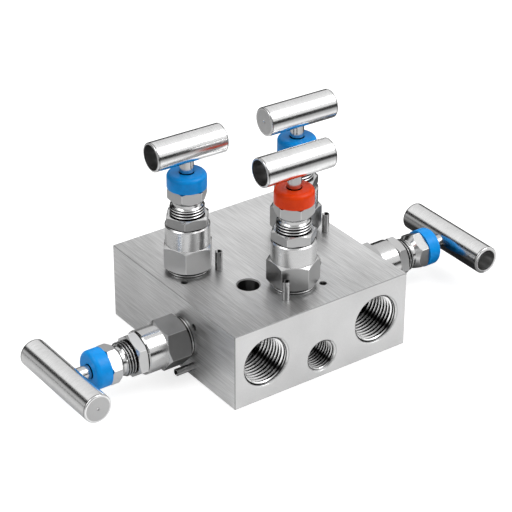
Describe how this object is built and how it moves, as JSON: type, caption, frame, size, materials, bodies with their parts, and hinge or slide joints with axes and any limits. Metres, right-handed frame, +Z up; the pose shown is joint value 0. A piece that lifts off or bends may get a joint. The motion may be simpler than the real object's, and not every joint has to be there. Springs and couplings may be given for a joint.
{
  "type": "instrument valve manifold",
  "caption": "Bar-stock steel manifold block with needle valves: isolating valves at the sides, equalizing and vent valves on top, T-bar handles and tapped ports.",
  "frame": {"origin": "centre of the block's underside", "axes": "+Z up through the top valves; -Y out of the process and vent ports; +X across the block from the left isolating valve to the right one"},
  "size_m": [0.2036, 0.087, 0.093],
  "materials": {
    "block_steel": "brushed",
    "turned_steel": "polished",
    "handle_steel": "polished",
    "pin_steel": "plain",
    "ptfe": "plain",
    "blue_cap": "satin",
    "red_cap": "satin"
  },
  "bodies": {
    "manifold": {"block": "block_steel", "lock_pins": "pin_steel", "gallery_plugs": "turned_steel", "left_isolate_bonnet": "turned_steel", "left_isolate_packing": "ptfe", "left_isolate_gland": "turned_steel", "left_isolate_packing_bolt": "turned_steel", "left_isolate_lock_nut": "turned_steel", "left_isolate_dust_cap": "blue_cap", "right_isolate_bonnet": "turned_steel", "right_isolate_packing": "ptfe", "right_isolate_gland": "turned_steel", "right_isolate_packing_bolt": "turned_steel", "right_isolate_lock_nut": "turned_steel", "right_isolate_dust_cap": "blue_cap", "left_equalize_bonnet": "turned_steel", "left_equalize_packing": "ptfe", "left_equalize_gland": "turned_steel", "left_equalize_packing_bolt": "turned_steel", "left_equalize_lock_nut": "turned_steel", "left_equalize_dust_cap": "blue_cap", "right_equalize_bonnet": "turned_steel", "right_equalize_packing": "ptfe", "right_equalize_gland": "turned_steel", "right_equalize_packing_bolt": "turned_steel", "right_equalize_lock_nut": "turned_steel", "right_equalize_dust_cap": "blue_cap", "vent_bonnet": "turned_steel", "vent_packing": "ptfe", "vent_gland": "turned_steel", "vent_packing_bolt": "turned_steel", "vent_lock_nut": "turned_steel", "vent_dust_cap": "red_cap"},
    "left_isolate_needle": {"left_isolate_needle": "turned_steel"},
    "left_isolate_stem": {"left_isolate_stem": "turned_steel", "left_isolate_t_bar": "handle_steel", "left_isolate_handle_screw": "turned_steel"},
    "right_isolate_needle": {"right_isolate_needle": "turned_steel"},
    "right_isolate_stem": {"right_isolate_stem": "turned_steel", "right_isolate_t_bar": "handle_steel", "right_isolate_handle_screw": "turned_steel"},
    "left_equalize_needle": {"left_equalize_needle": "turned_steel"},
    "left_equalize_stem": {"left_equalize_stem": "turned_steel", "left_equalize_t_bar": "handle_steel", "left_equalize_handle_screw": "turned_steel"},
    "right_equalize_needle": {"right_equalize_needle": "turned_steel"},
    "right_equalize_stem": {"right_equalize_stem": "turned_steel", "right_equalize_t_bar": "handle_steel", "right_equalize_handle_screw": "turned_steel"},
    "vent_needle": {"vent_needle": "turned_steel"},
    "vent_stem": {"vent_stem": "turned_steel", "vent_t_bar": "handle_steel", "vent_handle_screw": "turned_steel"}
  },
  "joints": [
    {"name": "left_isolate_needle_lift", "type": "slide", "parent": "manifold", "child": "left_isolate_needle", "axis": [-1, 0, 0], "range_m": [0, 0.004]},
    {"name": "left_isolate_handle_turn", "type": "hinge", "parent": "left_isolate_needle", "child": "left_isolate_stem", "pos_m": [-0.062, -0.0072, 0.0151], "axis": [-1, 0, 0], "range_deg": [0, 1440]},
    {"name": "right_isolate_needle_lift", "type": "slide", "parent": "manifold", "child": "right_isolate_needle", "axis": [1, 0, 0], "range_m": [0, 0.004]},
    {"name": "right_isolate_handle_turn", "type": "hinge", "parent": "right_isolate_needle", "child": "right_isolate_stem", "pos_m": [0.062, -0.0072, 0.0151], "axis": [1, 0, 0], "range_deg": [0, 1440]},
    {"name": "left_equalize_needle_lift", "type": "slide", "parent": "manifold", "child": "left_equalize_needle", "axis": [0, 0, 1], "range_m": [0, 0.004]},
    {"name": "left_equalize_handle_turn", "type": "hinge", "parent": "left_equalize_needle", "child": "left_equalize_stem", "pos_m": [-0.0268, 0.0108, 0.0532], "axis": [0, 0, 1], "range_deg": [0, 1440]},
    {"name": "right_equalize_needle_lift", "type": "slide", "parent": "manifold", "child": "right_equalize_needle", "axis": [0, 0, 1], "range_m": [0, 0.004]},
    {"name": "right_equalize_handle_turn", "type": "hinge", "parent": "right_equalize_needle", "child": "right_equalize_stem", "pos_m": [0.0268, 0.0108, 0.0532], "axis": [0, 0, 1], "range_deg": [0, 1440]},
    {"name": "vent_needle_lift", "type": "slide", "parent": "manifold", "child": "vent_needle", "axis": [0, 0, 1], "range_m": [0, 0.004]},
    {"name": "vent_handle_turn", "type": "hinge", "parent": "vent_needle", "child": "vent_stem", "pos_m": [0, -0.0237, 0.0532], "axis": [0, 0, 1], "range_deg": [0, 1440]}
  ],
  "couplings": [
    {"joint": "left_isolate_handle_turn", "follows": "left_isolate_needle_lift", "rad_per_m": 6283.2},
    {"joint": "right_isolate_handle_turn", "follows": "right_isolate_needle_lift", "rad_per_m": 6283.2},
    {"joint": "left_equalize_handle_turn", "follows": "left_equalize_needle_lift", "rad_per_m": 6283.2},
    {"joint": "right_equalize_handle_turn", "follows": "right_equalize_needle_lift", "rad_per_m": 6283.2},
    {"joint": "vent_handle_turn", "follows": "vent_needle_lift", "rad_per_m": 6283.2}
  ]
}
